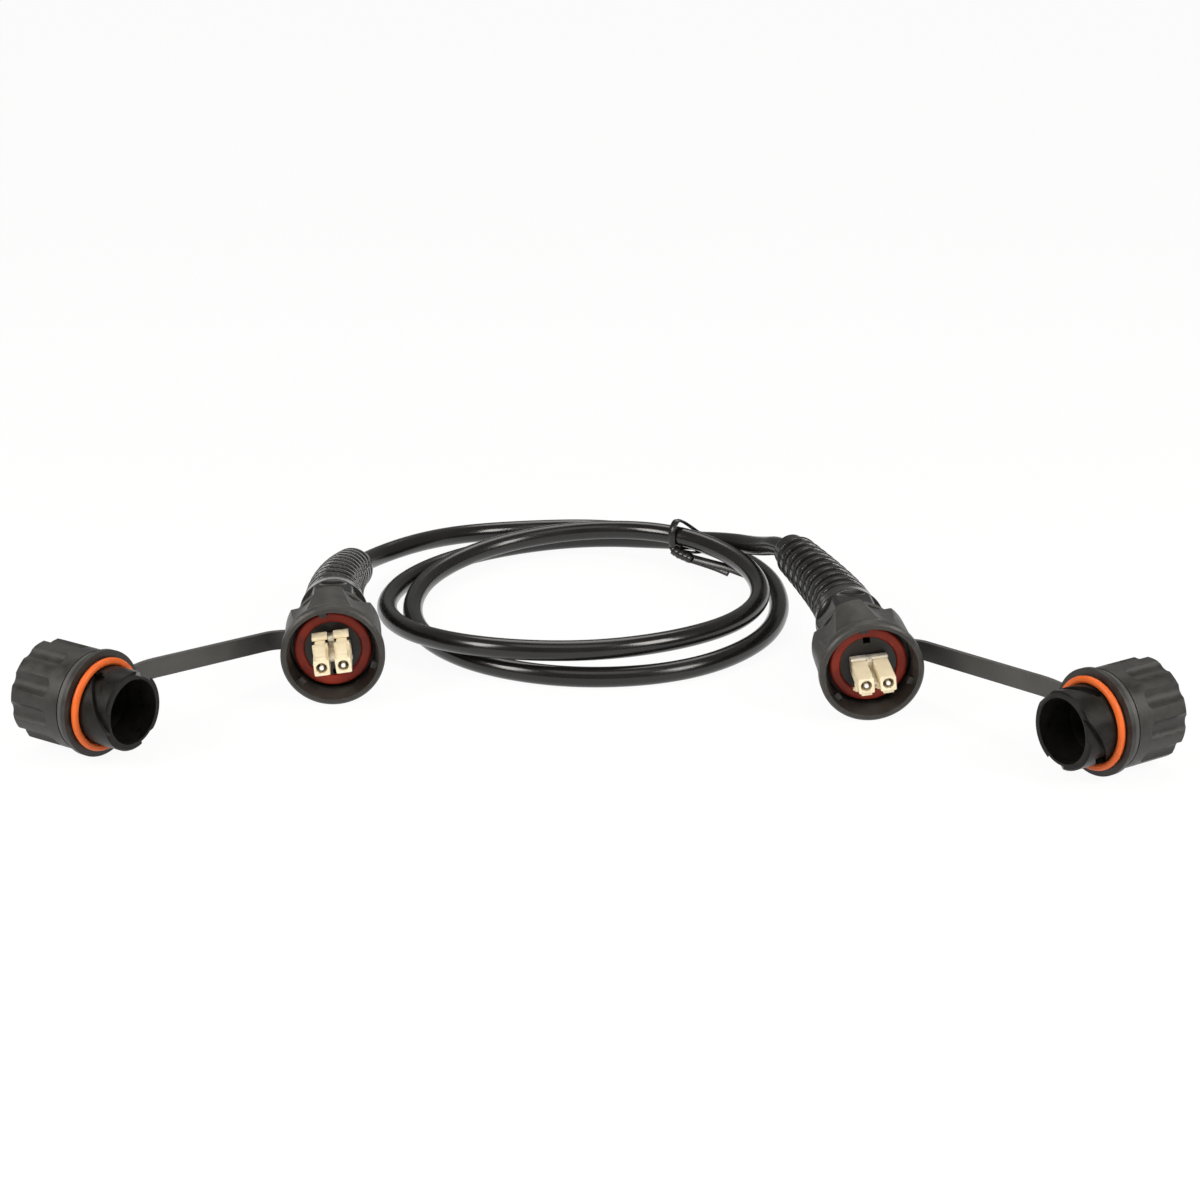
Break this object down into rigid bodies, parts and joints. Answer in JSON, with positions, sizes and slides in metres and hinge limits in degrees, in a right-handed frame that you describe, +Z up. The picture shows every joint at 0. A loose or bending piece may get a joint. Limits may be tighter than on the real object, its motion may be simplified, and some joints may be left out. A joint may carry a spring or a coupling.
{
  "type": "fibre patch cord",
  "caption": "Sealed fibre patch cord: bayonet plugs with duplex connectors, ribbed bend reliefs and tethered dust caps at both ends of a coiled black cable.",
  "frame": {"origin": "middle of the floor area under the plugs, caps and straps, at floor level", "axes": "+X to the right from cap to cap, +Y away from the viewer along the plugs towards the coil, +Z up"},
  "size_m": [0.3225, 0.2205, 0.0303],
  "materials": {
    "shell_plastic": "satin",
    "cap_plastic": "satin",
    "strap_rubber": "matte",
    "gland_plastic": "gloss",
    "cable_jacket": "semi-gloss",
    "tie_plastic": "gloss",
    "face_seal": "matte",
    "cap_ring": "matte",
    "connector_plastic": "satin",
    "ferrule_ceramic": "gloss",
    "crimp_metal": "satin",
    "fibre_jacket": "satin",
    "grommet_rubber": "matte"
  },
  "bodies": {
    "cord": {"left_plug_body": "shell_plastic", "left_face_seal": "face_seal", "left_lc_carrier": "shell_plastic", "left_lc_clip": "connector_plastic", "left_lc_housing_a": "connector_plastic", "left_lc_housing_b": "connector_plastic", "left_crimp_sleeve": "crimp_metal", "left_fibre_legs": "fibre_jacket", "left_grommet": "grommet_rubber", "left_gland_nut": "gland_plastic", "left_cable_lead": "cable_jacket", "right_plug_body": "shell_plastic", "right_face_seal": "face_seal", "right_lc_carrier": "shell_plastic", "right_lc_clip": "connector_plastic", "right_lc_housing_a": "connector_plastic", "right_lc_housing_b": "connector_plastic", "right_crimp_sleeve": "crimp_metal", "right_fibre_legs": "fibre_jacket", "right_grommet": "grommet_rubber", "right_gland_nut": "gland_plastic", "right_cable_lead": "cable_jacket", "cable_coil": "cable_jacket", "twist_tie": "tie_plastic"},
    "left_sleeve": {"left_coupling_sleeve": "shell_plastic"},
    "left_tether": {"left_strap": "strap_rubber"},
    "left_cap": {"left_dust_cap": "cap_plastic", "left_cap_ring": "cap_ring"},
    "left_ferrule_a": {"left_ferrule_a": "ferrule_ceramic"},
    "left_ferrule_b": {"left_ferrule_b": "ferrule_ceramic"},
    "right_sleeve": {"right_coupling_sleeve": "shell_plastic"},
    "right_tether": {"right_strap": "strap_rubber"},
    "right_cap": {"right_dust_cap": "cap_plastic", "right_cap_ring": "cap_ring"},
    "right_ferrule_a": {"right_ferrule_a": "ferrule_ceramic"},
    "right_ferrule_b": {"right_ferrule_b": "ferrule_ceramic"}
  },
  "joints": [
    {"name": "left_coupling_turn", "type": "hinge", "parent": "cord", "child": "left_sleeve", "pos_m": [-0.0754, -0.015, 0.0151], "axis": [0.0819, -0.9966, 0], "continuous": true},
    {"name": "left_strap_swivel", "type": "hinge", "parent": "cord", "child": "left_tether", "pos_m": [-0.07734, 0.00862, 0.0151], "axis": [-0.0819, 0.9966, 0], "range_deg": [0, 165]},
    {"name": "left_cap_swivel", "type": "hinge", "parent": "left_tether", "child": "left_cap", "pos_m": [-0.13806, -0.04933, 0.0151], "axis": [0.8387, -0.5446, 0], "continuous": true},
    {"name": "left_ferrule_a_slide", "type": "slide", "parent": "cord", "child": "left_ferrule_a", "axis": [-0.0819, 0.9966, 0], "range_m": [0, 0.001], "stiffness_N_per_m": 1500},
    {"name": "left_ferrule_b_slide", "type": "slide", "parent": "cord", "child": "left_ferrule_b", "axis": [-0.0819, 0.9966, 0], "range_m": [0, 0.001], "stiffness_N_per_m": 1500},
    {"name": "right_coupling_turn", "type": "hinge", "parent": "cord", "child": "right_sleeve", "pos_m": [0.0792, -0.0278, 0.01509], "axis": [0.0871, -0.9952, -0.0436], "continuous": true},
    {"name": "right_strap_swivel", "type": "hinge", "parent": "cord", "child": "right_tether", "pos_m": [0.07714, -0.00421, 0.01612], "axis": [0.0871, -0.9952, -0.0436], "range_deg": [0, 165]},
    {"name": "right_cap_swivel", "type": "hinge", "parent": "right_tether", "child": "right_cap", "pos_m": [0.13816, -0.06303, 0.0151], "axis": [-0.8387, -0.5446, 0], "continuous": true},
    {"name": "right_ferrule_a_slide", "type": "slide", "parent": "cord", "child": "right_ferrule_a", "axis": [-0.0871, 0.9952, 0.0436], "range_m": [0, 0.001], "stiffness_N_per_m": 1500},
    {"name": "right_ferrule_b_slide", "type": "slide", "parent": "cord", "child": "right_ferrule_b", "axis": [-0.0871, 0.9952, 0.0436], "range_m": [0, 0.001], "stiffness_N_per_m": 1500}
  ]
}
